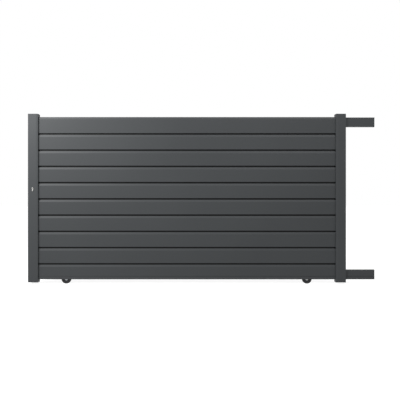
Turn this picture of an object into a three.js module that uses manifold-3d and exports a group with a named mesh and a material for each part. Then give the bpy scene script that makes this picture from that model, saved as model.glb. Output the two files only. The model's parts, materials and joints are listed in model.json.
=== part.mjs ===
// Sliding garden gate leaf: two stiles, two rails, eight tongue-and-groove boards, two guide tails,
// two grooved wheels and a hook lock.
//
// Millimetres, +Z up. X runs along the gate from the lock stile (-X) to the guide tails (+X),
// and -Y is the street side. The origin is below the middle of the leaf, on top of the ground track.

import * as THREE from 'three';
import { mergeVertices } from 'three/addons/utils/BufferGeometryUtils.js';
import Module from 'manifold-3d';

const wasm = await Module();
wasm.setup();

// ---------------------------------------------------------------- driving dimensions

const GAP = 0.3;                    // room left between two pieces that touch
const OVERALL_LENGTH = 3290;
const TAIL_REACH = 275;             // how far the tails stand out behind the rear stile

const STILE_WIDTH = 94;             // along X
const STILE_DEPTH = 68;             // along Y
const STILE_BOTTOM = 15;
const STILE_TOP = 1615;
const STILE_WALL = 2.5;
const CHANNEL_FLOOR = 64;           // from the stile's outer face to the floor of the board channel
const CAP_THICKNESS = 3;

const BOARD_THICKNESS = 36;
const BOARD_COUNT = 8;
const BOARD_PITCH = 154.5;
const JOINT_HEIGHT = 16;            // the dark recessed joint between two boards
const BOARD_WALL = 2;
const LIP_WALL = 2;                 // of the stile's lips beside the boards
const BEVEL_HEIGHT = 20;            // sloping strip along the top of every face
const BEVEL_SETBACK = 5.5;
const BOTTOM_RAIL_BOTTOM = 42.5;
const TOP_RAIL_TOP = 1586.5;

const TONGUE_HALF = 5;
const TONGUE_ENGAGED = 12.5;
const SLOT_CLEARANCE = 0.6;
const SLOT_DEPTH = 14;

const UPPER_TAIL = { bottom: 1494, top: 1582 };
const LOWER_TAIL = { bottom: 42.5, top: 132.5 };
const SLEEVE_HEIGHT = 62;
const SLEEVE_REACH = 200;           // how far a sleeve goes into its rail, and into its tail
const SLEEVE_WALL = 3;
const WINDOW_ROOM = 2.2;            // around a tail where it comes out of the stile

const WHEEL_RADIUS = 45.5;
const WHEEL_HALF_WIDTH = 8.5;
const WHEEL_INSET = { front: 357.5, rear: 365 };   // from the nearest stile's outer face to the axle
const AXLE_RADIUS = 5;

const CYLINDER_INSET = 45;          // from the lock stile's outer face to the lock cylinder's axis
const CYLINDER_HEIGHT = 905;
const CYLINDER_LENGTH = 78;
const PROFILE_RADIUS = 8.5;         // the standard 17 x 33 mm profile
const PROFILE_LEG = 24.5;
const CAM_RADIUS = 15;
const HOOK_PIVOT_INSET = 20;
const HOOK_PIVOT_HEIGHT = 955;

// ---------------------------------------------------------------- worked-out dimensions

const LOCK_EDGE = -OVERALL_LENGTH / 2;                      // outer face of the lock stile
const TAIL_END = OVERALL_LENGTH / 2;
const REAR_EDGE = TAIL_END - TAIL_REACH;                    // outer face of the rear stile
const STILE_HALF = STILE_DEPTH / 2;
const HALF = BOARD_THICKNESS / 2;
const CHANNEL_HALF = HALF + 0.5;
const BOARD_INSET = CHANNEL_FLOOR + 3;                      // boards may grow into the channel
const BOARD_START = LOCK_EDGE + BOARD_INSET;
const BOARD_END = REAR_EDGE - BOARD_INSET;
const BOARD_FACE = BOARD_PITCH - JOINT_HEIGHT;
const FIRST_BOARD_BOTTOM = BOTTOM_RAIL_BOTTOM + BOARD_PITCH;
const TOP_RAIL_BOTTOM = FIRST_BOARD_BOTTOM + BOARD_COUNT * BOARD_PITCH;
const INNER_HALF = HALF - BOARD_WALL;
const SLEEVE_HALF = INNER_HALF - 0.5;
const TAIL_START = REAR_EDGE - CHANNEL_FLOOR + STILE_WALL + GAP;   // against the channel floor, inside
const PORT_RADIUS = 3.2;                                    // screw ports in the rails
const LOWER_PORT = 159;
const UPPER_PORT = 1470;
const PORT_WEB = 10;

const ALUMINIUM = { color: 0x3a3e41, roughness: 0.45, metalness: 0.3 };
const PLASTIC = { color: 0x1c1d1e, roughness: 0.6, metalness: 0 };
const ZINC = { color: 0xa9adb0, roughness: 0.4, metalness: 0.9 };
const NICKEL = { color: 0xc9c8c4, roughness: 0.25, metalness: 1 };
const POLYAMIDE = { color: 0x202122, roughness: 0.55, metalness: 0 };

const gate = new THREE.Group();
gate.name = 'sliding_gate_leaf';

// ---------------------------------------------------------------- helpers

function add(name, shape, look) {
  const mesh = new THREE.Mesh(geometryOf(shape), new THREE.MeshStandardMaterial(look));
  mesh.name = name;
  gate.add(mesh);
  return mesh;
}

function outline(points) {
  return new THREE.Shape(points.map(([x, y]) => new THREE.Vector2(x, y)));
}

function circle(x, y, radius) {
  const shape = new THREE.Shape();
  shape.absarc(x, y, radius, 0, 2 * Math.PI);
  return shape;
}

function extrude(shape, length, curveSegments = 12) {
  return new THREE.ExtrudeGeometry(shape, { depth: length, bevelEnabled: false, curveSegments });
}

// The outline is drawn in (y, z) and runs along X.
function alongX(shape, start, end, curveSegments) {
  const axes = new THREE.Matrix4().makeBasis(
    new THREE.Vector3(0, 1, 0), new THREE.Vector3(0, 0, 1), new THREE.Vector3(1, 0, 0));
  return extrude(shape, end - start, curveSegments).applyMatrix4(axes).translate(start, 0, 0);
}

// The outline is drawn in (x, z) and runs along Y.
function alongY(shape, start, end, curveSegments) {
  const axes = new THREE.Matrix4().makeBasis(
    new THREE.Vector3(1, 0, 0), new THREE.Vector3(0, 0, 1), new THREE.Vector3(0, -1, 0));
  return extrude(shape, end - start, curveSegments).applyMatrix4(axes).translate(0, end, 0);
}

// The outline is drawn in (x, y) and runs along Z.
function alongZ(shape, start, end, curveSegments) {
  return extrude(shape, end - start, curveSegments).translate(0, 0, start);
}

function box(low, high) {
  const size = high.map((value, axis) => value - low[axis]);
  const middle = high.map((value, axis) => (value + low[axis]) / 2);
  return new THREE.BoxGeometry(...size).translate(...middle);
}

// Cuts and joins give a manifold-3d solid; solid() and geometryOf() go from one form to the other.
function solid(shape) {
  if (shape instanceof wasm.Manifold) return shape;
  const bare = shape.clone();
  bare.deleteAttribute('normal');
  bare.deleteAttribute('uv');
  const merged = mergeVertices(bare, 1e-4);
  const vertProperties = new Float32Array(merged.attributes.position.array);
  const triVerts = new Uint32Array(merged.index.array);
  return new wasm.Manifold(new wasm.Mesh({ numProp: 3, vertProperties, triVerts }));
}

function geometryOf(shape) {
  if (shape instanceof THREE.BufferGeometry) return shape;
  const { vertProperties, triVerts } = shape.getMesh();
  const indexed = new THREE.BufferGeometry();
  indexed.setAttribute('position', new THREE.BufferAttribute(vertProperties, 3));
  indexed.setIndex(new THREE.BufferAttribute(triVerts, 1));
  const faceted = indexed.toNonIndexed();
  faceted.computeVertexNormals();
  return faceted;
}

function cut(shape, ...tools) {
  return tools.reduce((body, tool) => body.subtract(solid(tool)), solid(shape));
}

function join(...shapes) {
  return shapes.map(solid).reduce((body, other) => body.add(other));
}

// A hollow extrusion: its outline and its chambers run the same way, the chambers a little further.
function hollow(run, shape, chambers, start, end) {
  return cut(run(shape, start, end), ...chambers.map((chamber) => run(chamber, start - 1, end + 1, 8)));
}

// A half outline runs upwards on the +y side; its mirror image closes it on the -y side.
function mirrored(half) {
  const other = half.filter(([y]) => y > 0).reverse().map(([y, z]) => [-y, z]);
  return outline([...half, ...other]);
}

// A round rod or screw: a list of [radius, distance] steps turned around the axis.
function turned(steps, segments = 16) {
  const points = steps.map(([radius, distance]) => new THREE.Vector2(radius, distance));
  return new THREE.LatheGeometry(points, segments);
}

function pointAlongX(geometry, toward = 1) {
  return geometry.rotateZ(toward > 0 ? -Math.PI / 2 : Math.PI / 2);
}

function hexagon(x, z, acrossFlats) {
  const radius = acrossFlats / Math.sqrt(3);
  const corners = [0, 1, 2, 3, 4, 5].map((step) => (step * Math.PI) / 3);
  return outline(corners.map((angle) => [x + radius * Math.cos(angle), z + radius * Math.sin(angle)]));
}

// ---------------------------------------------------------------- stiles

// x of a point given by its distance from a stile's outer face
const fromLockEdge = (inset) => LOCK_EDGE + inset;
const fromRearEdge = (inset) => REAR_EDGE - inset;

const SLOPE_START = 76;             // the stile's face falls away slightly beside the boards
const SLOPE_DROP = 2;

function stileOutline(place, closed) {
  const notch = closed ? [] : [
    [STILE_WIDTH, -CHANNEL_HALF],
    [CHANNEL_FLOOR, -CHANNEL_HALF],
    [CHANNEL_FLOOR, CHANNEL_HALF],
    [STILE_WIDTH, CHANNEL_HALF],
  ];
  const points = [
    [0, -STILE_HALF],
    [SLOPE_START, -STILE_HALF],
    [STILE_WIDTH, -STILE_HALF + SLOPE_DROP],
    ...notch,
    [STILE_WIDTH, STILE_HALF - SLOPE_DROP],
    [SLOPE_START, STILE_HALF],
    [0, STILE_HALF],
  ];
  return outline(points.map(([inset, y]) => [place(inset), y]));
}

function stileChambers(place) {
  const inner = STILE_HALF - STILE_WALL;
  const main = [
    [STILE_WALL, -inner],
    [CHANNEL_FLOOR - STILE_WALL, -inner],
    [CHANNEL_FLOOR - STILE_WALL, inner],
    [STILE_WALL, inner],
  ];
  const lip = (side) => [
    [CHANNEL_FLOOR + STILE_WALL, side * (CHANNEL_HALF + LIP_WALL)],
    [STILE_WIDTH - LIP_WALL, side * (CHANNEL_HALF + LIP_WALL)],
    [STILE_WIDTH - LIP_WALL, side * (inner - SLOPE_DROP)],
    [SLOPE_START, side * inner],
    [CHANNEL_FLOOR + STILE_WALL, side * inner],
  ];
  return [main, lip(-1), lip(1)].map((points) => outline(points.map(([inset, y]) => [place(inset), y])));
}

function stileTube(place) {
  return hollow(alongZ, stileOutline(place, false), stileChambers(place),
    STILE_BOTTOM + CAP_THICKNESS + GAP, STILE_TOP - CAP_THICKNESS - GAP);
}

function boxBetween(place, insets, ys, zs) {
  const xs = insets.map(place).sort((a, b) => a - b);
  return box([xs[0], ys[0], zs[0]], [xs[1], ys[1], zs[1]]);
}

const ACCESS_RADIUS = 8;            // holes in the outer wall, for the screwdriver
const FLOOR_HOLE_RADIUS = 3.4;

function frameScrewHoles(place) {
  return [LOWER_PORT, UPPER_PORT].flatMap((height) => {
    const reach = [-1, STILE_WALL + 1].map(place).sort((a, b) => a - b);
    const floor = [CHANNEL_FLOOR - STILE_WALL - 1, CHANNEL_FLOOR + 1].map(place).sort((a, b) => a - b);
    return [
      alongX(circle(0, height, ACCESS_RADIUS), ...reach, 10),
      alongX(circle(0, height, FLOOR_HOLE_RADIUS), ...floor, 8),
    ];
  });
}

const FOREND = { bottom: 815, top: 1035, half: 11, thickness: 2.8 };

function profileOutline(x, grow = 0) {
  const radius = PROFILE_RADIUS + grow;
  const legHalf = 5 + grow;
  const shoulder = Math.asin(-Math.sqrt(radius ** 2 - legHalf ** 2) / radius);
  const legCentre = CYLINDER_HEIGHT - PROFILE_LEG + 5;
  const shape = new THREE.Shape();
  shape.absarc(x, CYLINDER_HEIGHT, radius, shoulder, Math.PI - shoulder);
  shape.absarc(x, legCentre, legHalf, Math.PI, 2 * Math.PI);
  return shape;
}

function buildFrontStile() {
  const window = boxBetween(fromLockEdge, [-1, STILE_WALL + 0.3], [-FOREND.half - 0.4, FOREND.half + 0.4],
    [FOREND.bottom - 0.4, FOREND.top + 0.4]);
  const cylinderHole = alongY(profileOutline(fromLockEdge(CYLINDER_INSET), 0.6), -40, 40, 10);
  add('front_stile', cut(stileTube(fromLockEdge), window, cylinderHole, ...frameScrewHoles(fromLockEdge)),
    ALUMINIUM);
}

// A tail comes out through a window in the outer wall; only its sleeve goes on through the channel floor.
function tailWindows(tail) {
  const side = HALF + WINDOW_ROOM;
  const cell = sleeveCell(tail);
  return [
    boxBetween(fromRearEdge, [-1, STILE_WALL + 1], [-side, side],
      [tail.bottom - WINDOW_ROOM, tail.top + WINDOW_ROOM]),
    boxBetween(fromRearEdge, [CHANNEL_FLOOR - STILE_WALL - 1, CHANNEL_FLOOR + 1], [-INNER_HALF, INNER_HALF],
      [cell.floor, cell.roof]),
  ];
}

function buildRearStile() {
  const windows = [UPPER_TAIL, LOWER_TAIL].flatMap(tailWindows);
  add('rear_stile', cut(stileTube(fromRearEdge), ...windows, ...frameScrewHoles(fromRearEdge)), ALUMINIUM);
}

// A cap covers the whole end of the stile; its plug closes the channel above or below the rail.
function stileCap(place, direction) {
  const outerFace = direction > 0 ? STILE_TOP : STILE_BOTTOM;
  const innerFace = outerFace - direction * CAP_THICKNESS;
  const rail = direction > 0 ? TOP_RAIL_TOP + 0.5 : BOTTOM_RAIL_BOTTOM - 0.5;
  const chamberPlug = innerFace - direction * 12;
  const inner = STILE_HALF - STILE_WALL - 0.4;
  const ordered = (a, b) => [Math.min(a, b), Math.max(a, b)];
  const plate = alongZ(stileOutline(place, true), ...ordered(outerFace, innerFace));
  const overlap = innerFace + direction * 0.5;
  const channelPlug = boxBetween(place, [CHANNEL_FLOOR + 0.5, STILE_WIDTH - 1],
    [-CHANNEL_HALF + 0.4, CHANNEL_HALF - 0.4], ordered(overlap, rail));
  const mainPlug = boxBetween(place, [STILE_WALL + 0.4, CHANNEL_FLOOR - STILE_WALL - 0.4],
    [-inner, inner], ordered(overlap, chamberPlug));
  const hollow = boxBetween(place, [STILE_WALL + 3, CHANNEL_FLOOR - STILE_WALL - 3],
    [-inner + 2.5, inner - 2.5], ordered(innerFace, chamberPlug - direction));
  return cut(join(plate, channelPlug, mainPlug), hollow);
}

function buildStileCaps() {
  add('front_stile_top_cap', stileCap(fromLockEdge, 1), PLASTIC);
  add('front_stile_bottom_cap', stileCap(fromLockEdge, -1), PLASTIC);
  add('rear_stile_top_cap', stileCap(fromRearEdge, 1), PLASTIC);
  add('rear_stile_bottom_cap', stileCap(fromRearEdge, -1), PLASTIC);
}

// ---------------------------------------------------------------- boards and rails

function slotHalfOutline(bottom) {
  const half = TONGUE_HALF + SLOT_CLEARANCE;
  return [[0, bottom + SLOT_DEPTH], [half, bottom + SLOT_DEPTH], [half, bottom], [HALF, bottom]];
}

function slotChamberStart(bottom) {
  const half = TONGUE_HALF + SLOT_CLEARANCE + BOARD_WALL;
  const roof = bottom + SLOT_DEPTH + BOARD_WALL;
  return [[0, roof], [half, roof], [half, bottom + BOARD_WALL], [INNER_HALF, bottom + BOARD_WALL]];
}

function bevelHalfOutline(top) {
  return [[HALF, top - BEVEL_HEIGHT], [HALF - BEVEL_SETBACK, top]];
}

function bevelChamberEnd(top) {
  return [[INNER_HALF, top - BEVEL_HEIGHT - 0.5], [INNER_HALF - BEVEL_SETBACK + 0.5, top - BOARD_WALL]];
}

function tongueHalfOutline(top) {
  const tip = top + JOINT_HEIGHT + TONGUE_ENGAGED;
  return [[TONGUE_HALF, top], [TONGUE_HALF, tip]];
}

function tongueChamberEnd(top) {
  const tip = top + JOINT_HEIGHT + TONGUE_ENGAGED;
  return [
    [TONGUE_HALF - BOARD_WALL, top - BOARD_WALL],
    [TONGUE_HALF - BOARD_WALL, tip - BOARD_WALL],
    [0, tip - BOARD_WALL],
  ];
}

// A shallow V-shaped line runs along the bottom rail, and on along the lower tail.
const LINE = { above: 26.5, half: 1.6, depth: 1.2 };

function lineHalfOutline(bottom) {
  const middle = bottom + LINE.above;
  return [[HALF, middle - LINE.half], [HALF - LINE.depth, middle], [HALF, middle + LINE.half]];
}

function plainChamber(bottom, top) {
  return mirrored([[INNER_HALF, bottom], [INNER_HALF, top]]);
}

function buildBoards() {
  for (let number = 1; number <= BOARD_COUNT; number += 1) {
    const bottom = FIRST_BOARD_BOTTOM + (number - 1) * BOARD_PITCH;
    const top = bottom + BOARD_FACE;
    const web = bottom + BOARD_FACE / 2;
    const shape = mirrored([
      ...slotHalfOutline(bottom), ...bevelHalfOutline(top), ...tongueHalfOutline(top),
    ]);
    const chambers = [
      mirrored([...slotChamberStart(bottom), [INNER_HALF, web - 1], [0, web - 1]]),
      mirrored([[0, web + 1], [INNER_HALF, web + 1], ...bevelChamberEnd(top), ...tongueChamberEnd(top)]),
    ];
    add(`board_${number}`, hollow(alongX, shape, chambers, BOARD_START, BOARD_END), ALUMINIUM);
  }
}

function railScrewPort(height) {
  return circle(0, height, PORT_RADIUS);
}

// The sleeve sits in a cell of the rail whose floor is level with the tail's floor.
function sleeveCell(tail) {
  const floor = tail.bottom + BOARD_WALL;
  return { floor, roof: floor + SLEEVE_HEIGHT + 2 * GAP };
}

const WELL_HALF = 76;
const WELL_SIDE = 15.4;
const BRACKET_SCREW_OFFSET = 60;
const wheelPlaces = { front: LOCK_EDGE + WHEEL_INSET.front, rear: REAR_EDGE - WHEEL_INSET.rear };

const SLEEVE_SCREW = { hole: 2.9, shank: 2.5, head: 5, crown: 3.4, headHeight: 3, reach: 9.5 };

function sleeveScrewPlaces(tail) {
  const height = sleeveCell(tail).floor + SLEEVE_HEIGHT / 2;
  return { rail: [BOARD_END - 60, height], tail: [REAR_EDGE + 60, height] };
}

function sleeveScrewHole([x, height], start) {
  return alongY(circle(x, height, SLEEVE_SCREW.hole), start, HALF + 1, 8);
}

function buildBottomRail() {
  const bottom = BOTTOM_RAIL_BOTTOM;
  const top = bottom + BOARD_FACE;
  const cell = sleeveCell(LOWER_TAIL);
  const shape = mirrored([
    [HALF, bottom], ...lineHalfOutline(bottom), ...bevelHalfOutline(top), ...tongueHalfOutline(top),
  ]);
  const chambers = [
    plainChamber(cell.floor, cell.roof),
    plainChamber(cell.roof + BOARD_WALL, LOWER_PORT - PORT_WEB / 2),
    railScrewPort(LOWER_PORT),
    mirrored([
      [0, LOWER_PORT + PORT_WEB / 2 + 1], [INNER_HALF - 0.5, LOWER_PORT + PORT_WEB / 2 + 1],
      [INNER_HALF - BEVEL_SETBACK + 0.5, top - BOARD_WALL], ...tongueChamberEnd(top),
    ]),
  ];
  const wells = Object.values(wheelPlaces).flatMap((x) => [
    box([x - WELL_HALF, -WELL_SIDE, bottom - 1], [x + WELL_HALF, WELL_SIDE, cell.floor + 1]),
    ...[-1, 1].map((side) => alongZ(circle(x + side * BRACKET_SCREW_OFFSET, 0, FLOOR_HOLE_RADIUS),
      cell.roof - 1, cell.roof + BOARD_WALL + 1, 8)),
  ]);
  const screwHole = sleeveScrewHole(sleeveScrewPlaces(LOWER_TAIL).rail, INNER_HALF - 1);
  const tube = hollow(alongX, shape, chambers, BOARD_START, BOARD_END);
  add('bottom_rail', cut(tube, ...wells, screwHole), ALUMINIUM);
}

function buildTopRail() {
  const bottom = TOP_RAIL_BOTTOM;
  const top = TOP_RAIL_TOP;
  const cell = sleeveCell(UPPER_TAIL);
  const shape = mirrored([...slotHalfOutline(bottom), ...bevelHalfOutline(top)]);
  const chambers = [
    mirrored([
      ...slotChamberStart(bottom), [INNER_HALF, UPPER_PORT - PORT_WEB / 2], [0, UPPER_PORT - PORT_WEB / 2],
    ]),
    railScrewPort(UPPER_PORT),
    plainChamber(UPPER_PORT + PORT_WEB / 2, cell.floor - BOARD_WALL),
    plainChamber(cell.floor, cell.roof),
    mirrored([
      [INNER_HALF, cell.roof + BOARD_WALL], ...bevelChamberEnd(top),
    ]),
  ];
  const screwHole = sleeveScrewHole(sleeveScrewPlaces(UPPER_TAIL).rail, INNER_HALF - 1);
  add('top_rail', cut(hollow(alongX, shape, chambers, BOARD_START, BOARD_END), screwHole), ALUMINIUM);
}

// ---------------------------------------------------------------- guide tails

const TAIL_CAP_PLATE = 3;
const TAIL_CAP_LIP = 1.5;

function tailTube(tail, hasLine) {
  const { bottom, top } = tail;
  const cell = sleeveCell(tail);
  const line = hasLine ? lineHalfOutline(bottom) : [];
  const shape = mirrored([[HALF, bottom], ...line, [HALF, top]]);
  const chambers = [
    plainChamber(cell.floor, cell.roof),
    plainChamber(cell.roof + BOARD_WALL, top - BOARD_WALL),
  ];
  const tube = hollow(alongX, shape, chambers, TAIL_START, TAIL_END - TAIL_CAP_PLATE - GAP);
  return cut(tube, sleeveScrewHole(sleeveScrewPlaces(tail).tail, INNER_HALF - 1));
}

function tailCap(tail) {
  const { bottom, top } = tail;
  const cell = sleeveCell(tail);
  const side = HALF + TAIL_CAP_LIP;
  const plugSide = INNER_HALF - 0.4;
  const plate = box([TAIL_END - TAIL_CAP_PLATE, -side, bottom - TAIL_CAP_LIP],
    [TAIL_END, side, top + TAIL_CAP_LIP]);
  const plug = box([TAIL_END - 18, -plugSide, cell.floor + 0.4],
    [TAIL_END - TAIL_CAP_PLATE + 0.5, plugSide, cell.roof - 0.4]);
  const hollow = box([TAIL_END - 19, -plugSide + 2, cell.floor + 2.4],
    [TAIL_END - TAIL_CAP_PLATE, plugSide - 2, cell.roof - 2.4]);
  return cut(join(plate, plug), hollow);
}

function sleeve(tail) {
  const floor = sleeveCell(tail).floor + GAP;
  const roof = floor + SLEEVE_HEIGHT;
  const inside = SLEEVE_HALF - SLEEVE_WALL;
  const shape = mirrored([[SLEEVE_HALF, floor], [SLEEVE_HALF, roof]]);
  const chamber = mirrored([[inside, floor + SLEEVE_WALL], [inside, roof - SLEEVE_WALL]]);
  const tube = hollow(alongX, shape, [chamber], BOARD_END - SLEEVE_REACH, BOARD_END + SLEEVE_REACH);
  const places = sleeveScrewPlaces(tail);
  return cut(tube, ...[places.rail, places.tail].map((place) => sleeveScrewHole(place, inside - 1)));
}

// Button-head screw through the back wall and into the sleeve.
function sleeveScrew([x, height]) {
  const { shank, head, crown, headHeight, reach } = SLEEVE_SCREW;
  const screw = turned([
    [0, -reach], [shank, -reach], [shank, GAP], [head, GAP], [head, headHeight / 2], [crown, headHeight],
    [0, headHeight],
  ], 12);
  return screw.translate(x, HALF, height);
}

function buildTails() {
  for (const [name, tail] of [['upper', UPPER_TAIL], ['lower', LOWER_TAIL]]) {
    add(`${name}_tail`, tailTube(tail, tail === LOWER_TAIL), ALUMINIUM);
    add(`${name}_tail_cap`, tailCap(tail), PLASTIC);
    add(`${name}_tail_sleeve`, sleeve(tail), ZINC);
    const places = sleeveScrewPlaces(tail);
    add(`${name}_sleeve_rail_screw`, sleeveScrew(places.rail), ZINC);
    add(`${name}_sleeve_tail_screw`, sleeveScrew(places.tail), ZINC);
  }
}

// ---------------------------------------------------------------- frame screws

// The head bears on the channel floor inside the stile and the shank runs into the rail's port.
function frameScrew(place, toward, height) {
  const head = CHANNEL_FLOOR - STILE_WALL - GAP;
  const steps = [[0, head - 6], [5, head - 6], [5, head], [2.9, head], [2.9, head + 45], [0, head + 45]];
  const screw = pointAlongX(turned(steps, 12), toward);
  return screw.translate(place(0), 0, height);
}

function buildFrameScrews() {
  add('front_lower_frame_screw', frameScrew(fromLockEdge, 1, LOWER_PORT), ZINC);
  add('front_upper_frame_screw', frameScrew(fromLockEdge, 1, UPPER_PORT), ZINC);
  add('rear_lower_frame_screw', frameScrew(fromRearEdge, -1, LOWER_PORT), ZINC);
  add('rear_upper_frame_screw', frameScrew(fromRearEdge, -1, UPPER_PORT), ZINC);
}

// ---------------------------------------------------------------- rolling gear

const BEARING = { bore: 5.3, innerRing: 8.4, outerRing: 12, outside: 15, half: 4.5 };
const HEX = { acrossFlats: 17, height: 3.7 };               // the axle bolt's head, and its nut
const FORK = {
  inner: 9.1, outer: 11.1, plateTop: 106.8, plateThickness: 3, halfLength: 72, nose: 13, flange: 12,
};

// The tread is a round-bottomed groove that runs on a round-topped track.
function wheelRim() {
  const treadRadius = 7;
  const grooveHalf = 6.2;
  const grooveCentre = WHEEL_RADIUS + Math.sqrt(treadRadius ** 2 - grooveHalf ** 2);
  const halfAngle = Math.asin(grooveHalf / treadRadius);
  const steps = 4;
  const groove = [];
  for (let step = 0; step <= steps; step += 1) {
    const angle = -halfAngle + (2 * halfAngle * step) / steps;
    groove.push([grooveCentre - treadRadius * Math.cos(angle), treadRadius * Math.sin(angle)]);
  }
  const bore = BEARING.outside + GAP;
  const hub = bore + 4;
  const hubHalf = BEARING.half + 1;
  const webHalf = 3.5;
  const rimFoot = WHEEL_RADIUS - 12;
  return turned([
    [bore, -hubHalf], [hub, -hubHalf], [hub, -webHalf], [rimFoot, -webHalf],
    [rimFoot + 1, -WHEEL_HALF_WIDTH], [WHEEL_RADIUS, -WHEEL_HALF_WIDTH], ...groove,
    [WHEEL_RADIUS, WHEEL_HALF_WIDTH], [rimFoot + 1, WHEEL_HALF_WIDTH],
    [rimFoot, webHalf], [hub, webHalf], [hub, hubHalf], [bore, hubHalf], [bore, -hubHalf],
  ], 36);
}

function ring(inner, outer, half, segments) {
  return turned([[inner, -half], [outer, -half], [outer, half], [inner, half], [inner, -half]], segments);
}

function axleBolt() {
  const head = FORK.outer + GAP;
  const shank = turned([
    [0, -head - 1], [AXLE_RADIUS, -head - 1], [AXLE_RADIUS, FORK.outer + 4], [0, FORK.outer + 4],
  ], 16);
  return join(shank, alongY(hexagon(0, 0, HEX.acrossFlats), -head - HEX.height, -head));
}

function axleNut() {
  const face = FORK.outer + GAP;
  const shape = hexagon(0, 0, HEX.acrossFlats);
  shape.holes = [circle(0, 0, AXLE_RADIUS + GAP)];
  return alongY(shape, face, face + HEX.height, 10);
}

function cheekOutline() {
  const shape = new THREE.Shape();
  const top = FORK.plateTop - WHEEL_RADIUS;
  shape.moveTo(FORK.halfLength, top);
  shape.lineTo(-FORK.halfLength, top);
  shape.lineTo(-FORK.halfLength, top - FORK.flange);
  shape.absarc(0, 0, FORK.nose, Math.PI + 0.3, 2 * Math.PI - 0.3);
  shape.lineTo(FORK.halfLength, top - FORK.flange);
  shape.holes = [circle(0, 0, AXLE_RADIUS + GAP)];
  return shape;
}

function wheelBracket() {
  const top = FORK.plateTop - WHEEL_RADIUS;
  const thickness = FORK.outer - FORK.inner;
  const cheeks = [-FORK.outer, FORK.inner].map((y) => alongY(cheekOutline(), y, y + thickness, 12));
  const plate = box([-FORK.halfLength, -FORK.outer, top - FORK.plateThickness],
    [FORK.halfLength, FORK.outer, top]);
  const holes = [-1, 1].map((side) => alongZ(circle(side * BRACKET_SCREW_OFFSET, 0, FLOOR_HOLE_RADIUS),
    top - FORK.plateThickness - 1, top + 1, 8));
  return cut(join(plate, ...cheeks), ...holes);
}

// Hangs the bracket from the web inside the rail.
function bracketScrew() {
  const seat = FORK.plateTop - WHEEL_RADIUS - FORK.plateThickness - GAP;
  const steps = [[0, seat - 5], [6, seat - 5], [6, seat], [2.9, seat], [2.9, seat + 14], [0, seat + 14]];
  return turned(steps, 12).rotateX(Math.PI / 2);
}

function buildWheel(end) {
  const place = (shape, dx = 0) => geometryOf(shape).translate(wheelPlaces[end] + dx, 0, WHEEL_RADIUS);
  add(`${end}_wheel_bracket`, place(wheelBracket()), ZINC);
  add(`${end}_wheel`, place(wheelRim()), POLYAMIDE);
  add(`${end}_bearing_outer_ring`, place(ring(BEARING.outerRing, BEARING.outside, BEARING.half, 24)), ZINC);
  add(`${end}_bearing_inner_ring`, place(ring(BEARING.bore, BEARING.innerRing, FORK.inner - GAP, 24)), ZINC);
  add(`${end}_axle_bolt`, place(axleBolt()), ZINC);
  add(`${end}_axle_nut`, place(axleNut()), ZINC);
  add(`${end}_bracket_screw_1`, place(bracketScrew(), -BRACKET_SCREW_OFFSET), ZINC);
  add(`${end}_bracket_screw_2`, place(bracketScrew(), BRACKET_SCREW_OFFSET), ZINC);
}

// ---------------------------------------------------------------- hook lock

const CASE = { front: 3.2, back: 60.5, bottom: 838, top: 1012, half: 8, wall: 1.5 };
const SLOT = { bottom: HOOK_PIVOT_HEIGHT - 9, top: HOOK_PIVOT_HEIGHT + 46, half: 3.2 };
const PIN_RADIUS = 4;
const FIXING_HEIGHT = CYLINDER_HEIGHT - 20;
const FOREND_SCREWS = [FOREND.bottom + 8, FOREND.top - 8];
const FOREND_SCREW = { head: 3.6, shank: 1.9, length: 14 };
const CYLINDER_SCREW = { head: 3.9, shank: 2.4, length: CYLINDER_INSET + 4 };

// Countersunk screw whose head starts at the outer face; grow widens it into the tool for its hole.
function countersunk({ head, shank, length }, height, grow = 0) {
  const sunk = 0.1 - grow;
  const rim = 0.5 + grow;
  const steps = [
    [0, sunk], [head + grow, sunk], [head + grow, rim],
    [shank + grow, rim + head - shank], [shank + grow, length], [0, length],
  ];
  return pointAlongX(turned(steps, 12)).translate(LOCK_EDGE, 0, height);
}

function screwHoleAlongX(insets, radius, height) {
  return alongX(circle(0, height, radius), ...insets.map(fromLockEdge), 8);
}

function buildForend() {
  const plate = boxBetween(fromLockEdge, [0, FOREND.thickness], [-FOREND.half, FOREND.half],
    [FOREND.bottom, FOREND.top]);
  const slot = boxBetween(fromLockEdge, [-1, FOREND.thickness + 1], [-SLOT.half, SLOT.half],
    [SLOT.bottom, SLOT.top]);
  const sinks = FOREND_SCREWS.map((height) => countersunk(FOREND_SCREW, height, GAP));
  const fixing = countersunk(CYLINDER_SCREW, FIXING_HEIGHT, GAP);
  add('lock_forend', cut(plate, slot, ...sinks, fixing), NICKEL);
}

function buildLockCase() {
  const { front, back, bottom, top, half, wall } = CASE;
  const outer = boxBetween(fromLockEdge, [front, back], [-half, half], [bottom, top]);
  const inner = boxBetween(fromLockEdge, [front + wall, back + 1], [-half + wall, half - wall],
    [bottom + wall, top - wall]);
  const slot = boxBetween(fromLockEdge, [front - 1, front + wall + 1], [-SLOT.half, SLOT.half],
    [SLOT.bottom, SLOT.top]);
  const cylinderHole = alongY(profileOutline(fromLockEdge(CYLINDER_INSET), 0.4), -half - 1, half + 1, 10);
  const pinHole = alongY(circle(fromLockEdge(HOOK_PIVOT_INSET), HOOK_PIVOT_HEIGHT, PIN_RADIUS + GAP),
    -half - 1, half + 1, 8);
  const fixing = screwHoleAlongX([front - 1, front + wall + 1], 2.7, FIXING_HEIGHT);
  add('lock_case', cut(outer, inner, slot, cylinderHole, pinHole, fixing), ZINC);
}

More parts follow.
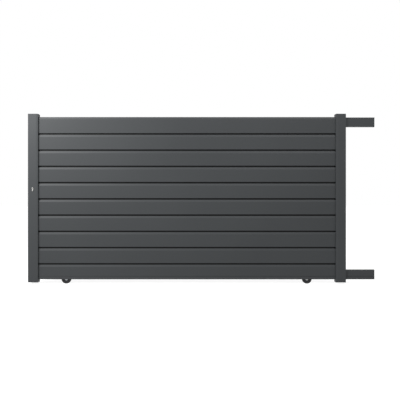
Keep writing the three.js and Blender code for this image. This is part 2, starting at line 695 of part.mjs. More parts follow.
// Drawn with the hook up inside the case; it swings out through the forend and its beak points down.
function hookOutline() {
  const shape = new THREE.Shape();
  const hub = 9;
  const pull = { x: 12, y: -34, radius: 3 };                // the end that the cam works on
  shape.absarc(0, 0, hub, Math.PI, 1.45 * Math.PI);
  shape.absarc(pull.x, pull.y, pull.radius, 1.1 * Math.PI, 2.1 * Math.PI);
  shape.absarc(0, 0, hub, 1.85 * Math.PI, 2 * Math.PI);
  shape.lineTo(7, 12);
  shape.absarc(-1, 36, 8, 0, Math.PI / 2);
  shape.lineTo(-14.5, 44);
  shape.lineTo(-14.5, 38);
  shape.lineTo(-5, 32);
  shape.lineTo(-7, 12);
  shape.holes = [circle(0, 0, 4.4)];
  return shape;
}

function buildHook() {
  const pivot = fromLockEdge(HOOK_PIVOT_INSET);
  const plate = alongY(hookOutline(), -2.5, 2.5, 8).translate(pivot, 0, HOOK_PIVOT_HEIGHT);
  add('lock_hook', plate, NICKEL);
  const pin = alongY(circle(pivot, HOOK_PIVOT_HEIGHT, PIN_RADIUS), -CASE.half, CASE.half, 8);
  add('lock_hook_pin', pin, ZINC);
}

function buildForendFixings() {
  const ends = [['bottom', FOREND_SCREWS[0], [-16, 11]], ['top', FOREND_SCREWS[1], [-11, 16]]];
  for (const [name, height, [below, above]] of ends) {
    const plate = boxBetween(fromLockEdge, [FOREND.thickness + GAP, FOREND.thickness + GAP + 3], [-20, 20],
      [height + below, height + above]);
    const thread = screwHoleAlongX([1, 8], 2.2, height);
    add(`lock_backing_plate_${name}`, cut(plate, thread), ZINC);
    add(`lock_forend_screw_${name}`, countersunk(FOREND_SCREW, height), ZINC);
  }
}

const PLUG = { radius: 6.4, bore: 6.8, inner: 5.4, end: CYLINDER_LENGTH / 2 + 0.4 };
const KEYWAY = { half: 1.3, reach: 4.2, depth: 24 };
const NOTCH_HALF = 5.2;

function buildCylinder() {
  const x = fromLockEdge(CYLINDER_INSET);
  const half = CYLINDER_LENGTH / 2;
  const body = alongY(profileOutline(x), -half, half, 12);
  const bore = alongY(circle(x, CYLINDER_HEIGHT, PLUG.bore), -half - 1, half + 1, 12);
  const notch = box([x - 20, -NOTCH_HALF, CYLINDER_HEIGHT - CAM_RADIUS - 0.9],
    [x + 20, NOTCH_HALF, CYLINDER_HEIGHT + 20]);
  const thread = screwHoleAlongX([CYLINDER_INSET - 6, CYLINDER_INSET + 6], 2.7, FIXING_HEIGHT);
  add('lock_cylinder_body', cut(body, bore, notch, thread), NICKEL);

  const keyway = (y0, y1) => box([x - KEYWAY.half, y0, CYLINDER_HEIGHT - KEYWAY.reach],
    [x + KEYWAY.half, y1, CYLINDER_HEIGHT + KEYWAY.reach]);
  const frontPlug = alongY(circle(x, CYLINDER_HEIGHT, PLUG.radius), -PLUG.end, -PLUG.inner, 12);
  const backPlug = alongY(circle(x, CYLINDER_HEIGHT, PLUG.radius), PLUG.inner, PLUG.end, 12);
  add('lock_plug_front', cut(frontPlug, keyway(-PLUG.end - 1, -PLUG.end + KEYWAY.depth)), NICKEL);
  add('lock_plug_back', cut(backPlug, keyway(PLUG.end - KEYWAY.depth, PLUG.end + 1)), NICKEL);

  const cam = new THREE.Shape();
  cam.absarc(0, 0, 8, -0.2 * Math.PI, 1.2 * Math.PI);
  cam.absarc(0, 0, CAM_RADIUS, -0.6 * Math.PI, -0.4 * Math.PI);
  add('lock_cam', alongY(cam, -4.9, 4.9, 12).translate(x, 0, CYLINDER_HEIGHT), NICKEL);

  add('lock_cylinder_screw', countersunk(CYLINDER_SCREW, FIXING_HEIGHT), ZINC);
}

// ---------------------------------------------------------------- the whole leaf

buildFrontStile();
buildRearStile();
buildStileCaps();
buildBottomRail();
buildBoards();
buildTopRail();
buildTails();
buildFrameScrews();
buildWheel('front');
buildWheel('rear');
buildForend();
buildLockCase();
buildHook();
buildForendFixings();
buildCylinder();

export default gate;
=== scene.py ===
# Looks of the sliding garden gate leaf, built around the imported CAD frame.
#
# Metres, +Z up, in the same frame as the CAD: X runs along the gate from the lock stile to the guide tails,
# and -Y is the street side, which the camera looks at. Small pieces are given in millimetres times MM.

import json
import math

import bmesh
import bpy
from mathutils import Matrix, Vector


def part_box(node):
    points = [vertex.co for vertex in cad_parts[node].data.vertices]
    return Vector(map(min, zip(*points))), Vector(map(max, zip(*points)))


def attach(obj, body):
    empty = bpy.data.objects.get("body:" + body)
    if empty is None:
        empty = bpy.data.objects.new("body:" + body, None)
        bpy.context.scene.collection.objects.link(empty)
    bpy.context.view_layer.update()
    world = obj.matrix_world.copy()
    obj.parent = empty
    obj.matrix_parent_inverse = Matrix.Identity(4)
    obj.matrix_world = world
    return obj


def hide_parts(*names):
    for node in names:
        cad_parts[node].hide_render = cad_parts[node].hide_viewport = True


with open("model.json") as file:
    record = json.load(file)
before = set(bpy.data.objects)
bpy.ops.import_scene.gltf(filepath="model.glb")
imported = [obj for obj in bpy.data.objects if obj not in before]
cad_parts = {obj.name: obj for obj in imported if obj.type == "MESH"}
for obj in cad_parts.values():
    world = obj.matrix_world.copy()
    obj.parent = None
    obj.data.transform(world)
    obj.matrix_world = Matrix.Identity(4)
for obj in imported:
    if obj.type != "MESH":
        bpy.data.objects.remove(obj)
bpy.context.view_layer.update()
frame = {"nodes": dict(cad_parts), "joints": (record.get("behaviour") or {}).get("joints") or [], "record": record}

MM = 0.001
NODES = frame["nodes"]
SLOTS = {part["node"]: part["material_slot"] for part in frame["record"]["subparts"]}
JOINTS = {joint["name"]: joint for joint in frame["joints"]}
X, Y, Z = Vector((1, 0, 0)), Vector((0, 1, 0)), Vector((0, 0, 1))


# ---------------------------------------------------------------- camera, floor and light

CAMERA_DISTANCE = 4.9           # from the stiles' street face
CAMERA_LENS = 46.52
CAMERA_X = -0.0136
CAMERA_HEIGHT = 0.797
FLOOR_REACH = 60
FLOOR_TONE = 0.35
FLOOR_GLOW = 0.72
KEY = {"place": (-2.6, -2.0, 2.8), "aim": (0, 0, 0.9), "size": (1.6, 1.6), "power": 278}
TOP = {"place": (1.4, -2.4, 3.4), "aim": (0, 0, 0.9), "size": (2.6, 1.2), "power": 90}


def make_camera():
    street_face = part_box("front_stile")[0].y
    data = bpy.data.cameras.new("camera")
    data.lens = CAMERA_LENS
    data.sensor_width = 36
    data.clip_end = 2 * FLOOR_REACH
    camera = bpy.data.objects.new("camera", data)
    camera.location = (CAMERA_X, street_face - CAMERA_DISTANCE, CAMERA_HEIGHT)
    camera.rotation_euler = (math.pi / 2, 0, 0)
    bpy.context.scene.collection.objects.link(camera)
    bpy.context.scene.camera = camera


def make_floor():
    mesh = bpy.data.meshes.new("floor")
    corners = [(x, y, 0) for x, y in ((-1, -1), (1, -1), (1, 1), (-1, 1))]
    mesh.from_pydata([Vector(corner) * FLOOR_REACH for corner in corners], [], [(0, 1, 2, 3)])
    floor = bpy.data.objects.new("floor", mesh)
    bpy.context.scene.collection.objects.link(floor)
    made = bpy.data.materials.new("floor_white")
    made.use_nodes = True
    shader = made.node_tree.nodes["Principled BSDF"]
    shader.inputs["Base Color"].default_value = (FLOOR_TONE, FLOOR_TONE, FLOOR_TONE, 1)
    shader.inputs["Roughness"].default_value = 0.9
    shader.inputs["Specular IOR Level"].default_value = 0.1
    shader.inputs["Emission Color"].default_value = (1, 1, 1, 1)
    shader.inputs["Emission Strength"].default_value = FLOOR_GLOW
    mesh.materials.append(made)


def area_light(name, setting):
    data = bpy.data.lights.new(name, "AREA")
    data.shape = "RECTANGLE"
    data.size, data.size_y = setting["size"]
    data.energy = setting["power"]
    light = bpy.data.objects.new(name, data)
    light.location = setting["place"]
    toward = Vector(setting["aim"]) - Vector(setting["place"])
    light.rotation_euler = toward.to_track_quat("-Z", "Y").to_euler()
    bpy.context.scene.collection.objects.link(light)


def make_light():
    world = bpy.data.worlds.new("studio")
    world.use_nodes = True
    background = world.node_tree.nodes["Background"]
    background.inputs["Color"].default_value = (1, 1, 1, 1)
    background.inputs["Strength"].default_value = 1.0
    bpy.context.scene.world = world
    area_light("key", KEY)
    area_light("top", TOP)
    bpy.context.scene.view_settings.view_transform = "Standard"
    bpy.context.scene.view_settings.look = "None"


# ---------------------------------------------------------------- material kit


class Paint:
    """A node material with a Principled shader, and short calls for the nodes that vary it."""

    def __init__(self, name, colour, roughness, metallic=0.0, specular=0.5):
        self.made = bpy.data.materials.new(name)
        self.made.use_nodes = True
        self.made.diffuse_color = (*colour, 1)
        self.tree = self.made.node_tree
        self.shader = self.tree.nodes["Principled BSDF"]
        self.shader.inputs["Metallic"].default_value = metallic
        self.shader.inputs["Specular IOR Level"].default_value = specular
        self.colour = colour
        self.roughness = roughness
        self.texture = self.tree.nodes.new("ShaderNodeTexCoord")
        self.place = self.texture.outputs["Object"]
        self.bumps = None

    def stretched(self, scale):
        mapping = self.tree.nodes.new("ShaderNodeMapping")
        mapping.inputs["Scale"].default_value = scale
        self.tree.links.new(self.place, mapping.inputs["Vector"])
        return mapping.outputs["Vector"]

    def noise(self, scale, detail=3.0, rough=0.5, vector=None):
        node = self.tree.nodes.new("ShaderNodeTexNoise")
        node.inputs["Scale"].default_value = scale
        node.inputs["Detail"].default_value = detail
        node.inputs["Roughness"].default_value = rough
        self.tree.links.new(vector or self.place, node.inputs["Vector"])
        return node.outputs["Fac"]

    def cells(self, scale, vector=None):
        node = self.tree.nodes.new("ShaderNodeTexVoronoi")
        node.inputs["Scale"].default_value = scale
        self.tree.links.new(vector or self.place, node.inputs["Vector"])
        return node.outputs["Color"]

    def range(self, value, low, high, start=0.0, end=1.0):
        node = self.tree.nodes.new("ShaderNodeMapRange")
        for name, number in (("From Min", start), ("From Max", end), ("To Min", low), ("To Max", high)):
            node.inputs[name].default_value = number
        self.tree.links.new(value, node.inputs["Value"])
        return node.outputs["Result"]

    def mix(self, factor, first, second):
        node = self.tree.nodes.new("ShaderNodeMix")
        node.data_type = "RGBA"
        for socket, value in ((node.inputs[6], first), (node.inputs[7], second)):
            if isinstance(value, bpy.types.NodeSocket):
                self.tree.links.new(value, socket)
            else:
                socket.default_value = (*value, 1)
        self.tree.links.new(factor, node.inputs[0])
        return node.outputs[2]

    def maths(self, operation, *values):
        node = self.tree.nodes.new("ShaderNodeMath")
        node.operation = operation
        for value, socket in zip(values, node.inputs):
            self.tree.links.new(value, socket)
        return node.outputs["Value"]

    def size_along(self, axis, vector, start=0.0):
        """How far a vector reaches along one axis, either way from a start."""
        split = self.tree.nodes.new("ShaderNodeSeparateXYZ")
        self.tree.links.new(vector, split.inputs["Vector"])
        moved = self.tree.nodes.new("ShaderNodeMath")
        moved.operation = "SUBTRACT"
        self.tree.links.new(split.outputs[axis], moved.inputs[0])
        moved.inputs[1].default_value = start
        return self.maths("ABSOLUTE", moved.outputs["Value"])

    def product(self, first, second):
        return self.maths("MULTIPLY", first, second)

    def tinted(self, amount):
        return tuple(channel * amount for channel in self.colour)

    def set_colour(self, socket):
        self.tree.links.new(socket, self.shader.inputs["Base Color"])

    def set_roughness(self, socket):
        self.tree.links.new(socket, self.shader.inputs["Roughness"])

    def bump(self, height, distance, strength=1.0):
        node = self.tree.nodes.new("ShaderNodeBump")
        node.inputs["Strength"].default_value = strength
        node.inputs["Distance"].default_value = distance
        self.tree.links.new(height, node.inputs["Height"])
        if self.bumps:
            self.tree.links.new(self.bumps, node.inputs["Normal"])
        self.bumps = node.outputs["Normal"]
        self.tree.links.new(self.bumps, self.shader.inputs["Normal"])


TONGUE_REACH = 8 * MM           # a face that looks out of the leaf this near its middle is a tongue's
# how dark the painted shade on the tongues is, as a share of the coat's colour
TONGUE_SHADE_TONE = 0.2
LINE_HEIGHT = 69 * MM           # of the shallow line along the bottom rail and the lower tail
LINE_HALF = 1.6 * MM
# how dark the painted shade in the shallow line is, as a share of the coat's colour
LINE_SHADE_TONE = 0.4


def powder_coat(name, stretch, has_line_shade=False):
    """Fine-textured satin powder coat over an extrusion, whose die lines run along one axis.

    A tongue, deep in the joint between two boards, is painted darker as painted shade in the joint, so that the
    joints read as dark lines.
    So is the shallow line along the foot of the gate, as painted shade in its groove, where the flag for it is
    set.
    """
    paint = Paint(name, (0.0211, 0.0227, 0.0239), 0.5, specular=0.12)
    drift = paint.noise(1.1, detail=2.0)
    grain = paint.noise(1500, detail=2.0)
    die_lines = paint.noise(1.0, detail=2.0, rough=0.6, vector=paint.stretched(stretch))
    tone = paint.mix(paint.range(drift, 0, 1, 0.35, 0.65), paint.tinted(0.96), paint.tinted(1.04))
    speckled = paint.mix(paint.range(grain, 0, 0.22, 0.45, 0.7), tone, paint.tinted(1.8))
    looks_out = paint.size_along("Y", paint.texture.outputs["Normal"])
    off_middle = paint.size_along("Y", paint.place)
    near_middle = paint.range(off_middle, 1, 0, TONGUE_REACH, TONGUE_REACH + 1 * MM)
    # Painted shade: the tongue faces deep in each joint between boards are painted darker, standing in for the
    # shade there.
    tongue = paint.product(paint.range(looks_out, 0, 1, 0.6, 0.8), near_middle)
    shaded = paint.mix(tongue, speckled, paint.tinted(TONGUE_SHADE_TONE))
    if has_line_shade:
        # Painted shade: the shallow line along the foot of the gate is painted darker, standing in for the shade
        # in its groove.
        off_line = paint.size_along("Z", paint.place, LINE_HEIGHT)
        line_shade = paint.range(off_line, 1, 0, LINE_HALF * 0.8, LINE_HALF * 1.2)
        shaded = paint.mix(line_shade, shaded, paint.tinted(LINE_SHADE_TONE))
    paint.set_colour(shaded)
    paint.set_roughness(paint.range(die_lines, paint.roughness - 0.03, paint.roughness + 0.03))
    paint.bump(grain, 0.06 * MM, 0.6)
    paint.bump(paint.noise(320, detail=1.0), 0.08 * MM, 0.35)
    return paint.made


def moulded_plastic(name, colour, roughness):
    """Eroded-mould grain with a slow change of tone."""
    paint = Paint(name, colour, roughness, specular=0.2)
    grain = paint.noise(2400, detail=2.0)
    drift = paint.noise(18, detail=3.0)
    paint.set_colour(paint.mix(drift, paint.tinted(0.85), paint.tinted(1.15)))
    paint.set_roughness(paint.range(drift, roughness - 0.06, roughness + 0.06))
    paint.bump(grain, 0.05 * MM, 0.5)
    return paint.made


def zinc_plate():
    """Bright zinc with faint spangles and a cloudy passivation tint."""
    paint = Paint("zinc_plated_steel", (0.28, 0.29, 0.30), 0.36, metallic=1.0)
    spangles = paint.cells(420)
    haze = paint.noise(60, detail=4.0)
    tone = paint.mix(paint.range(haze, 0, 1, 0.35, 0.65), (0.235, 0.25, 0.27), (0.325, 0.315, 0.295))
    paint.set_colour(paint.mix(paint.range(spangles, 0, 0.35), tone, paint.tinted(1.15)))
    paint.set_roughness(paint.range(haze, 0.28, 0.5))
    paint.bump(paint.noise(900, detail=2.0), 0.03 * MM, 0.4)
    return paint.made


def brushed_metal(name, colour, roughness, along):
    """Fine brush or grinding lines that run along one axis, under a few soft smudges."""
    paint = Paint(name, colour, roughness, metallic=1.0)
    scale = tuple(8 if axis == along else 700 for axis in range(3))
    brush = paint.noise(1.0, detail=3.0, rough=0.6, vector=paint.stretched(scale))
    smudge = paint.noise(40, detail=3.0)
    paint.set_colour(paint.mix(brush, paint.tinted(0.88), paint.tinted(1.08)))
    paint.set_roughness(paint.range(smudge, roughness - 0.05, roughness + 0.08))
    paint.bump(brush, 0.02 * MM, 0.5)
    return paint.made


def wheel_polyamide():
    """Black moulded polyamide with pale dusty scuffs that run round the tread."""
    paint = Paint("black_polyamide", (0.010, 0.010, 0.011), 0.42, specular=0.2)
    scuffs = paint.noise(1.0, detail=4.0, rough=0.7, vector=paint.stretched((260, 900, 260)))
    dust = paint.range(scuffs, 0, 0.5, 0.55, 0.8)
    paint.set_colour(paint.mix(dust, paint.colour, (0.030, 0.029, 0.027)))
    paint.set_roughness(paint.range(paint.noise(45, detail=4.0), 0.36, 0.5))
    paint.bump(paint.noise(1800, detail=2.0), 0.04 * MM, 0.5)
    return paint.made


ALONG_X = (0.3, 160, 160)
ALONG_Z = (160, 160, 0.3)
COAT = powder_coat("anthracite_powder_coat", ALONG_X)
LINE_SHADED_COAT = powder_coat("anthracite_powder_coat_line_shaded", ALONG_X, has_line_shade=True)
STILE_COAT = powder_coat("anthracite_powder_coat_upright", ALONG_Z)
OWN_COATS = {
    "front_stile": STILE_COAT,
    "rear_stile": STILE_COAT,
    "bottom_rail": LINE_SHADED_COAT,
    "lower_tail": LINE_SHADED_COAT,
}
PAINTS = {
    "anthracite_powder_coat": COAT,
    "coated_screw": COAT,
    "black_plastic": moulded_plastic("black_plastic", (0.0195, 0.0215, 0.0227), 0.5),
    "mill_aluminium": brushed_metal("mill_aluminium", (0.46, 0.465, 0.47), 0.38, along=0),
    "zinc_plated_steel": zinc_plate(),
    "bearing_steel": brushed_metal("bearing_steel", (0.36, 0.37, 0.38), 0.24, along=1),
    "black_polyamide": wheel_polyamide(),
    "satin_nickel": brushed_metal("satin_nickel", (0.29, 0.287, 0.277), 0.36, along=2),
}
RUBBER = moulded_plastic("bearing_seal_rubber", (0.018, 0.018, 0.019), 0.62)


# ---------------------------------------------------------------- mesh kit

SMOOTH_BELOW = math.radians(32)     # edges sharper than this stay sharp


def finish_piece(piece, body, slot, stands_for=(), paint=None):
    """Shades a piece, gives it its finish, and tells the frame what it rides on and stands for."""
    mesh = piece.data
    mesh.shade_smooth()
    mesh.set_sharp_from_angle(angle=SMOOTH_BELOW)
    mesh.materials.append(paint or PAINTS[slot])
    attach(piece, body)
    if stands_for:
        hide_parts(*stands_for)


def new_piece(name, mesh):
    piece = bpy.data.objects.new(name, mesh)
    bpy.context.scene.collection.objects.link(piece)
    return piece


def value_at(value, angle):
    return value(angle) if callable(value) else value


def turned(name, rings, centre, axis, segments=72, closed=False):
    """Joins rings round an axis. A ring is (radius, distance along the axis), in metres.

    Either may be a function of the angle, which gives hexagons, sockets and slots. A radius of 0 is a pole.
    """
    axis = Vector(axis)
    across = Z if abs(axis.z) < 0.5 else X
    side = axis.cross(across).normalized()
    upright = side.cross(axis)
    mesh_work = bmesh.new()
    made = []
    for radius, along in rings:
        if radius == 0:
            made.append([mesh_work.verts.new(Vector(centre) + axis * along)])
            continue
        loop = []
        for step in range(segments):
            angle = 2 * math.pi * step / segments
            arm = side * math.cos(angle) + upright * math.sin(angle)
            place = Vector(centre) + axis * value_at(along, angle) + arm * value_at(radius, angle)
            loop.append(mesh_work.verts.new(place))
        made.append(loop)
    pairs = list(zip(made, made[1:])) + ([(made[-1], made[0])] if closed else [])
    for first, second in pairs:
        for step in range(segments):
            after = (step + 1) % segments
            corners = [first[step % len(first)], first[after % len(first)],
                       second[after % len(second)], second[step % len(second)]]
            mesh_work.faces.new(list(dict.fromkeys(corners)))
    bmesh.ops.recalc_face_normals(mesh_work, faces=mesh_work.faces)
    mesh = bpy.data.meshes.new(name)
    mesh_work.to_mesh(mesh)
    mesh_work.free()
    return new_piece(name, mesh)


def arc(centre, radius, start, end, steps=24):
    """Points on an arc, from one angle to another, in half turns."""
    points = []
    for step in range(steps + 1):
        angle = math.pi * (start + (end - start) * step / steps)
        points.append((centre[0] + radius * math.cos(angle), centre[1] + radius * math.sin(angle)))
    return points


def plate(name, loops, low, high, rounding):
    """A flat piece drawn in (x, z), from y = low to y = high, with rounded edges and any holes."""
    curve = bpy.data.curves.new(name, "CURVE")
    curve.dimensions = "2D"
    curve.fill_mode = "BOTH"
    curve.extrude = (high - low) / 2 - rounding
    curve.bevel_depth = rounding
    curve.bevel_resolution = 2
    curve.offset = -rounding
    for loop in loops:
        spline = curve.splines.new("POLY")
        spline.points.add(len(loop) - 1)
        for point, (x, z) in zip(spline.points, loop):
            point.co = (x, z, 0, 1)
        spline.use_cyclic_u = True
    drawn = bpy.data.objects.new(name, curve)
    mesh = bpy.data.meshes.new_from_object(drawn)
    bpy.data.objects.remove(drawn)
    mesh.transform(Matrix.Translation((0, (low + high) / 2, 0)) @ Matrix.Rotation(math.pi / 2, 4, "X"))
    mesh_work = bmesh.new()
    mesh_work.from_mesh(mesh)
    bmesh.ops.remove_doubles(mesh_work, verts=mesh_work.verts, dist=0.001 * MM)
    bmesh.ops.recalc_face_normals(mesh_work, faces=mesh_work.faces)
    mesh_work.to_mesh(mesh)
    mesh_work.free()
    mesh.name = name
    return new_piece(name, mesh)


def polygon_radius(sides, apothem):
    """Radius of a regular polygon at an angle."""
    sector = 2 * math.pi / sides
    return lambda angle: apothem / math.cos((angle + sector / 2) % sector - sector / 2)


def star_radius(lobes, inner, outer):
    """Radius of a lobed driver socket at an angle."""
    middle, swing = (inner + outer) / 2, (outer - inner) / 2
    return lambda angle: middle + swing * math.cos(lobes * angle)


def slot_radius(half_width, half_length):
    """Radius of an upright slot at an angle measured from the horizontal."""
    def radius(angle):
        across = abs(math.cos(angle))
        along = abs(math.sin(angle))
        return min(half_width / max(across, 1e-6), half_length / max(along, 1e-6))
    return radius


# ---------------------------------------------------------------- carried-over CAD nodes

EDGE_ROUNDING = {
    "anthracite_powder_coat": 0.6 * MM,
    "black_plastic": 0.8 * MM,
    "mill_aluminium": 0.3 * MM,
    "zinc_plated_steel": 0.3 * MM,
    "satin_nickel": 0.4 * MM,
}
EDGE_ANGLE = math.radians(35)


def dress_cad_nodes():
    """Gives every CAD node its finish, and rounds its edges if its slot has a rounding."""
    for name, slot in SLOTS.items():
        node = NODES[name]
        node.data.materials.clear()
        node.data.materials.append(OWN_COATS.get(name, PAINTS[slot]))
        width = EDGE_ROUNDING.get(slot)
        if width:
            rounding = node.modifiers.new("edges", "BEVEL")
            rounding.width = width
            rounding.segments = 2
            rounding.limit_method = "ANGLE"
            rounding.angle_limit = EDGE_ANGLE


# ---------------------------------------------------------------- wheels and their bearings

GROOVE_RADIUS = 7 * MM
GROOVE_HALF = 6.2 * MM
RIM_DEPTH = 12 * MM
HUB_WALL = 4 * MM
WEB_HALF = 3.5 * MM
BEARING_OUTSIDE = 15 * MM
BEARING_HALF = 4.5 * MM
SEAL_SINK = 0.5 * MM
SEAL_THICKNESS = 0.5 * MM
RACE_INSIDE = 12 * MM
SLEEVE_BORE = 5.3 * MM
SLEEVE_OUTSIDE = 8.4 * MM
RING_CHAMFER = 0.4 * MM


def wheel_rings(radius, half):
    """Closed section of the wheel: bore, hub, web, rim, and the round groove that runs on the track."""
    centre = radius + math.sqrt(GROOVE_RADIUS ** 2 - GROOVE_HALF ** 2)
    reach = math.asin(GROOVE_HALF / GROOVE_RADIUS)
    steps = 20
    groove = []
    for step in range(steps + 1):
        angle = reach * (2 * step / steps - 1)
        groove.append((centre - GROOVE_RADIUS * math.cos(angle), GROOVE_RADIUS * math.sin(angle)))
    bore = BEARING_OUTSIDE + 0.1 * MM
    hub = bore + HUB_WALL
    hub_half = BEARING_HALF + 1 * MM
    rim_foot = radius - RIM_DEPTH
    round_off = 0.7 * MM
    side = [
        (bore + round_off, hub_half), (hub - round_off, hub_half), (hub, hub_half - round_off),
        (hub + round_off, WEB_HALF + 0.2 * MM), (hub + 2 * round_off, WEB_HALF),
        (rim_foot - 2 * round_off, WEB_HALF), (rim_foot - 0.4 * round_off, WEB_HALF + 0.5 * MM),
        (rim_foot + 1 * MM, half - round_off), (rim_foot + 1 * MM + round_off, half),
        (radius - round_off, half), (radius, half - round_off),
    ]
    lower = [(distance, -along) for distance, along in side]
    upper = [(distance, along) for distance, along in reversed(side)]
    return [(bore, round_off - hub_half), *lower, *groove, *upper, (bore, hub_half - round_off)]


def ring_section(inner, outer, half, chamfer):
    """Closed section of a bearing ring with chamfered corners."""
    return [(inner, chamfer - half), (inner + chamfer, -half), (outer - chamfer, -half),
            (outer, chamfer - half), (outer, half - chamfer), (outer - chamfer, half),
            (inner + chamfer, half), (inner, half - chamfer)]


def build_wheel(end):
    body = f"{end}_wheel"
    low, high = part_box(body)
    centre = (low + high) / 2
    wheel = turned(f"{end}_wheel_tyre", wheel_rings((high.z - low.z) / 2, (high.y - low.y) / 2),
                   centre, Y, segments=128, closed=True)
    finish_piece(wheel, body, "black_polyamide", [body])

    race = ring_section(RACE_INSIDE, BEARING_OUTSIDE, BEARING_HALF, RING_CHAMFER)
    outer_ring = turned(f"{end}_bearing_race", race, centre, Y, closed=True)
    finish_piece(outer_ring, body, "bearing_steel", [f"{end}_bearing_outer_ring"])

    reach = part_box(f"{end}_bearing_inner_ring")[1].y
    sleeve = ring_section(SLEEVE_BORE, SLEEVE_OUTSIDE, reach, RING_CHAMFER)
    inner_ring = turned(f"{end}_bearing_sleeve", sleeve, centre, Y, closed=True)
    finish_piece(inner_ring, "leaf", "bearing_steel", [f"{end}_bearing_inner_ring"])

    for side, direction in (("street", -1), ("garden", 1)):
        face = direction * (BEARING_HALF - SEAL_SINK)
        thick = direction * SEAL_THICKNESS
        seal = turned(f"{end}_bearing_seal_{side}",
                      [(8.6 * MM, face), (9.4 * MM, face), (9.8 * MM, face - thick / 2),
                       (11 * MM, face - thick / 2), (11.3 * MM, face), (11.9 * MM, face),
                       (11.9 * MM, face - 2 * thick), (8.6 * MM, face - 2 * thick)],
                      centre, Y, closed=True)
        finish_piece(seal, body, "black_polyamide", paint=RUBBER)


# ---------------------------------------------------------------- bolts and screws

HEX_APOTHEM = 8.5 * MM
HEX_HEIGHT = 3.7 * MM
CHAMFER_SLOPE = math.tan(math.radians(30))


def hex_side(seat, height):
    """Rings of a chamfered hexagon, from its seat outwards; the corners are turned down by the chamfer."""
    outline = polygon_radius(6, HEX_APOTHEM)
    crown = HEX_APOTHEM * 0.96
    return [
        (crown, seat), (outline, lambda angle: seat + (outline(angle) - crown) * CHAMFER_SLOPE * 0.4),
        (outline, lambda angle: seat + height - (outline(angle) - crown) * CHAMFER_SLOPE),
        (crown, seat + height),
    ]


def build_axle(end):
    low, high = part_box(f"{end}_wheel")
    centre = (low + high) / 2
    street = -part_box(f"{end}_axle_bolt")[0].y
    seat = street - HEX_HEIGHT
    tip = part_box(f"{end}_axle_bolt")[1].y
    shank = 5 * MM
    bolt = turned(f"{end}_axle_bolt_fine", [
        (0, -tip), (shank - 0.8 * MM, -tip), (shank, 0.8 * MM - tip), (shank, seat),
        *hex_side(seat, HEX_HEIGHT), (HEX_APOTHEM * 0.8, street - 0.25 * MM), (0, street - 0.25 * MM),
    ], centre, -Y, segments=96)
    finish_piece(bolt, "leaf", "zinc_plated_steel", [f"{end}_axle_bolt"])

    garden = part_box(f"{end}_axle_nut")[0].y
    bore = shank + 0.15 * MM
    nut = turned(f"{end}_axle_nut_fine", [
        (bore + 0.6 * MM, garden), *hex_side(garden, HEX_HEIGHT), (bore + 0.6 * MM, garden + HEX_HEIGHT),
        (bore, garden + HEX_HEIGHT - 0.6 * MM), (bore, garden + 0.6 * MM),
    ], centre, Y, segments=96, closed=True)
    finish_piece(nut, "leaf", "zinc_plated_steel", [f"{end}_axle_nut"])


def domed_head(radius, height, seat):
    """Rings of a domed screw head that stands on its seat, up to the edge of its driver socket."""
    dome = []
    for step in range(9):
        angle = math.pi / 2 * step / 10
        dome.append((radius * math.cos(angle), seat + 0.3 * height + 0.7 * height * math.sin(angle)))
    return [(radius - 0.2 * MM, seat), (radius, seat + 0.2 * MM), *dome]


def socket(opening, top, depth):
    return [(opening, top), (opening, top - depth), (0, top - depth - 0.4 * MM)]


def build_button_screw(name, axis, body="leaf"):
    """Replaces a screw whose head faces along the axis by one with a dome and a lobed socket."""
    low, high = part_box(name)
    middle = (low + high) / 2
    radius = (high.x - low.x) / 2
    length = abs((high - low).dot(axis))
    start = middle - axis * length / 2
    head = 3 * MM if radius < 5.5 * MM else 5 * MM
    shank = radius / 2
    seat = length - head
    rings = [
        (0, 0), (shank * 0.6, 0), (shank, shank * 0.6), (shank, seat),
        *domed_head(radius, head, seat),
        *socket(star_radius(6, 0.30 * radius, 0.42 * radius), length - 0.02 * MM, 0.5 * head),
    ]
    screw = turned(f"{name}_fine", rings, start, axis)
    finish_piece(screw, body, SLOTS[name], [name])


def build_sunk_screw(name, lobes):
    """A countersunk screw in the lock stile's edge, whose flat head faces the strike post."""
    low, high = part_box(name)
    radius = (high.z - low.z) / 2
    middle = (low + high) / 2
    shank = 0.55 * radius
    length = high.x - low.x
    rim = 0.4 * MM
    rings = [
        (0, 0), (shank * 0.5, 0), (shank, shank), (shank, length - rim - (radius - shank)),
        (radius, length - rim), (radius, length - 0.1 * MM), (radius - 0.15 * MM, length),
        *socket(star_radius(lobes, 0.28 * radius, 0.55 * radius), length, 0.4 * radius),
    ]
    screw = turned(f"{name}_fine", rings, Vector((high.x, middle.y, middle.z)), -X)
    finish_piece(screw, "leaf", SLOTS[name], [name])


# ---------------------------------------------------------------- hook lock

PROFILE_RADIUS = 8.5 * MM
LEG_HALF = 5 * MM
BORE_RADIUS = 6.7 * MM
CAM_ROOM = 5.2 * MM             # half the gap that the cam turns in
BRIDGE_OVERLAP = 2 * MM
BRIDGE_SHRINK = 0.3 * MM
KEYWAY_DEPTH = 20 * MM


def profile_loop():
    """Outline of the profile cylinder: a round barrel over a round-ended leg."""
    axis = JOINTS["lock_plug_turn"]["pos_m"]
    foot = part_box("lock_cylinder_body")[0].z + LEG_HALF
    shoulder = math.acos(LEG_HALF / PROFILE_RADIUS) / math.pi
    barrel = arc((axis[0], axis[2]), PROFILE_RADIUS, -shoulder, 1 + shoulder, 48)
    return barrel + arc((axis[0], foot), LEG_HALF, 1, 2)


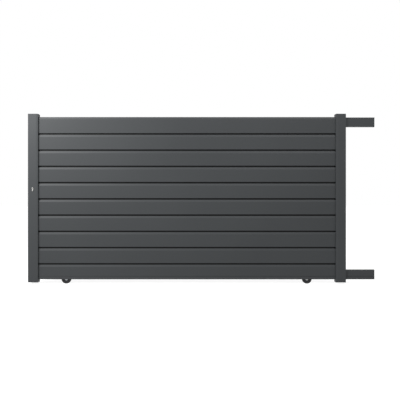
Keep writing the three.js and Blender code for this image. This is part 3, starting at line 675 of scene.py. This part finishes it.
def build_cylinder():
    low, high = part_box("lock_cylinder_body")
    axis = Vector(JOINTS["lock_plug_turn"]["pos_m"])
    bore = arc((axis.x, axis.z), BORE_RADIUS, 0, 2 * 47 / 48, 47)
    street = plate("lock_cylinder_street_half", [profile_loop(), bore], low.y, -CAM_ROOM, 0.4 * MM)
    finish_piece(street, "leaf", "satin_nickel", ["lock_cylinder_body"])
    garden = plate("lock_cylinder_garden_half", [profile_loop(), bore], CAM_ROOM, high.y, 0.4 * MM)
    finish_piece(garden, "leaf", "satin_nickel")
    foot = low.z + LEG_HALF
    reach = LEG_HALF - BRIDGE_SHRINK
    bridge_half = CAM_ROOM + BRIDGE_OVERLAP
    bridge_loop = arc((axis.x, foot), reach, 1, 2) + [(axis.x + reach, foot), (axis.x - reach, foot)]
    bridge = plate("lock_cylinder_bridge", [bridge_loop], -bridge_half, bridge_half, 0.2 * MM)
    finish_piece(bridge, "leaf", "satin_nickel")


def build_plug(name, direction):
    low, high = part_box(name)
    axis = Vector(JOINTS["lock_plug_turn"]["pos_m"])
    outer = high.y if direction > 0 else -low.y
    inner = low.y if direction > 0 else -high.y
    radius = (high.z - low.z) / 2
    keyway = slot_radius(1.3 * MM, 4.2 * MM)
    entry = slot_radius(1.7 * MM, 4.5 * MM)
    rings = [
        (0, inner), (radius, inner), (radius, outer - 0.5 * MM), (radius - 0.5 * MM, outer),
        (entry, outer), (keyway, outer - 0.4 * MM),
        (keyway, outer - KEYWAY_DEPTH), (0, outer - KEYWAY_DEPTH),
    ]
    plug = turned(f"{name}_fine", rings, Vector((axis.x, 0, axis.z)), Y * direction, segments=144)
    finish_piece(plug, "lock_plug", "satin_nickel", [name])


def build_hook():
    """The hook stands upright inside the case at rest. Its beak hangs down when it is out."""
    low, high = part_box("lock_hook")
    pivot = Vector(JOINTS["lock_hook_swing"]["pos_m"])

    def at(x, z):
        return (pivot.x + x * MM, pivot.z + z * MM)

    centre = at(0, 0)
    loop = [
        *arc(centre, 9 * MM, 1, 1.45), *arc(at(12, -34), 3 * MM, 1.1, 2.1, 16),
        *arc(centre, 9 * MM, 1.85, 2, 8), at(7, 12), *arc(at(-1, 36), 8 * MM, 0, 0.5),
        at(-14.5, 44), at(-14.5, 38), at(-5, 32), at(-7, 12),
    ]
    hole = arc(centre, 4.4 * MM, 0, 2 * 31 / 32, 31)
    hook = plate("lock_hook_fine", [loop, hole], low.y, high.y, 0.4 * MM)
    finish_piece(hook, "lock_hook", "satin_nickel", ["lock_hook"])


# ---------------------------------------------------------------- plugs in the screwdriver holes

PLUG_RADIUS = 7.9 * MM
HOLE_LEVELS = ("lower", "upper")      # each hole lies in line with a frame screw


def build_hole_plug(name, height, face, outward):
    rings = [
        (0, -1.6 * MM), (PLUG_RADIUS - 0.6 * MM, -1.6 * MM), (PLUG_RADIUS, -1.0 * MM),
        (PLUG_RADIUS, -0.5 * MM), (PLUG_RADIUS - 0.4 * MM, -0.1 * MM), (PLUG_RADIUS - 1.4 * MM, -0.1 * MM),
        (PLUG_RADIUS - 2.2 * MM, -0.6 * MM), (0, -0.6 * MM),
    ]
    plug = turned(name, rings, (face, 0, height), outward)
    finish_piece(plug, "leaf", "black_plastic")


def build_hole_plugs():
    lock_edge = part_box("front_stile")[0].x
    rear_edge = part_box("rear_stile")[1].x
    for level in HOLE_LEVELS:
        low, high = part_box(f"front_{level}_frame_screw")
        height = (low.z + high.z) / 2
        build_hole_plug(f"front_stile_{level}_plug", height, lock_edge, -X)
        build_hole_plug(f"rear_stile_{level}_plug", height, rear_edge, X)


# ---------------------------------------------------------------- the whole scene

make_camera()
make_floor()
make_light()
dress_cad_nodes()
for end_name in ("front", "rear"):
    build_wheel(end_name)
    build_axle(end_name)
    for count in (1, 2):
        build_button_screw(f"{end_name}_bracket_screw_{count}", -Z)
for level in ("upper", "lower"):
    for joined in ("rail", "tail"):
        build_button_screw(f"{level}_sleeve_{joined}_screw", Y)
for place_name in ("bottom", "top"):
    build_sunk_screw(f"lock_forend_screw_{place_name}", 6)
build_sunk_screw("lock_cylinder_screw", 4)
build_cylinder()
build_plug("lock_plug_front", -1)
build_plug("lock_plug_back", 1)
build_hook()
build_hole_plugs()
